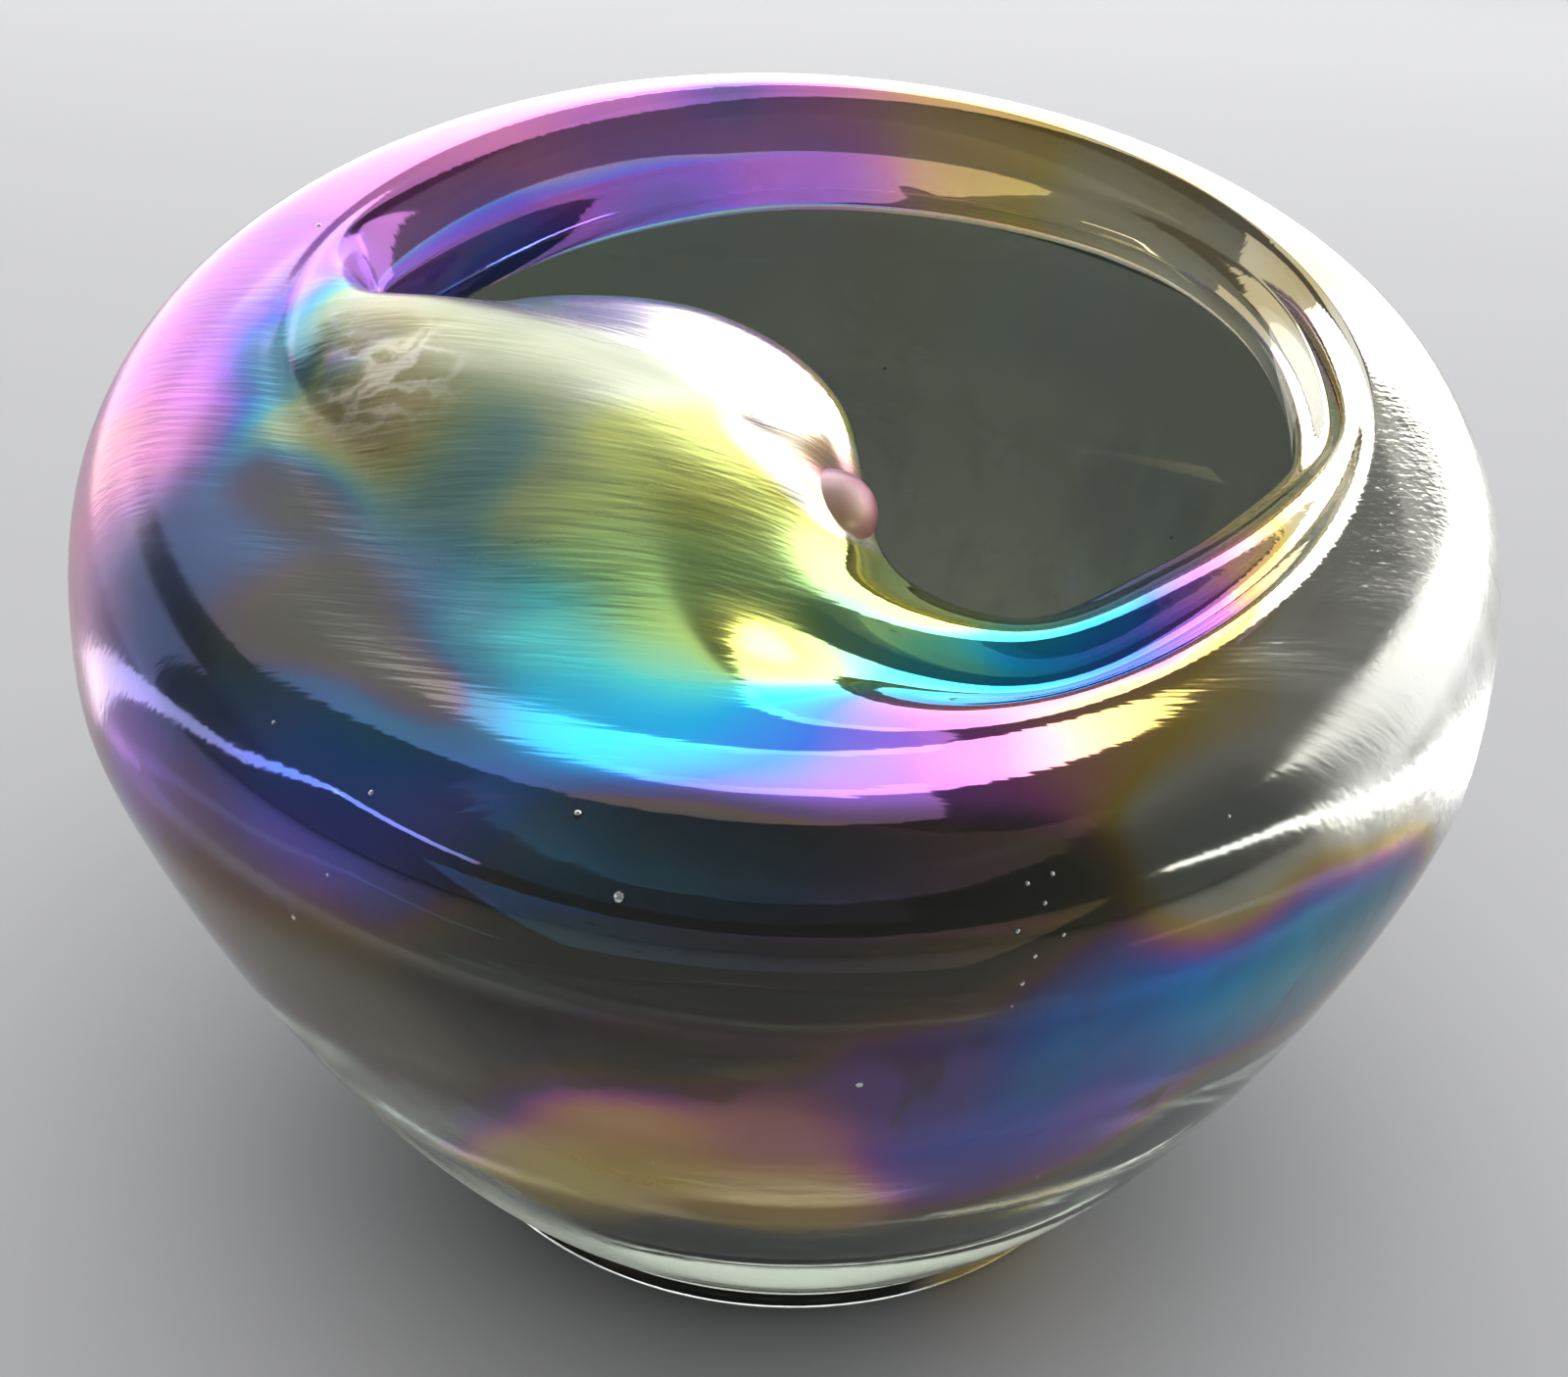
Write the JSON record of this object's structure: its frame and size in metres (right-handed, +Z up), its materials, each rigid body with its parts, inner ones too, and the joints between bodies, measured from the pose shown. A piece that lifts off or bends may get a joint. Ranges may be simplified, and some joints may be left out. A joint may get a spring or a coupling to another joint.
{
  "type": "art glass bowl",
  "caption": "Heavy free-blown iridised glass bowl, a squat globe on a small foot, with its rim folded in on one side as a smooth mound beside a comma-shaped mouth.",
  "frame": {"origin": "on the table, under the middle of the bowl", "axes": "+Z up, -Y towards the low front of the rim, +X to the right, so that the folded-in mound is on the left"},
  "size_m": [0.1898, 0.1899, 0.1363],
  "materials": {
    "clear_glass": "polished",
    "iridised_glass": "polished",
    "iridised_rim": "polished",
    "satin_fold": "satin"
  },
  "bodies": {
    "root": {"foot_pad": "clear_glass", "clear_casing": "clear_glass", "inner_gather": "iridised_glass", "rolled_rim": "iridised_rim", "whorl_fold": "satin_fold", "fold_tip": "satin_fold"}
  },
  "joints": []
}
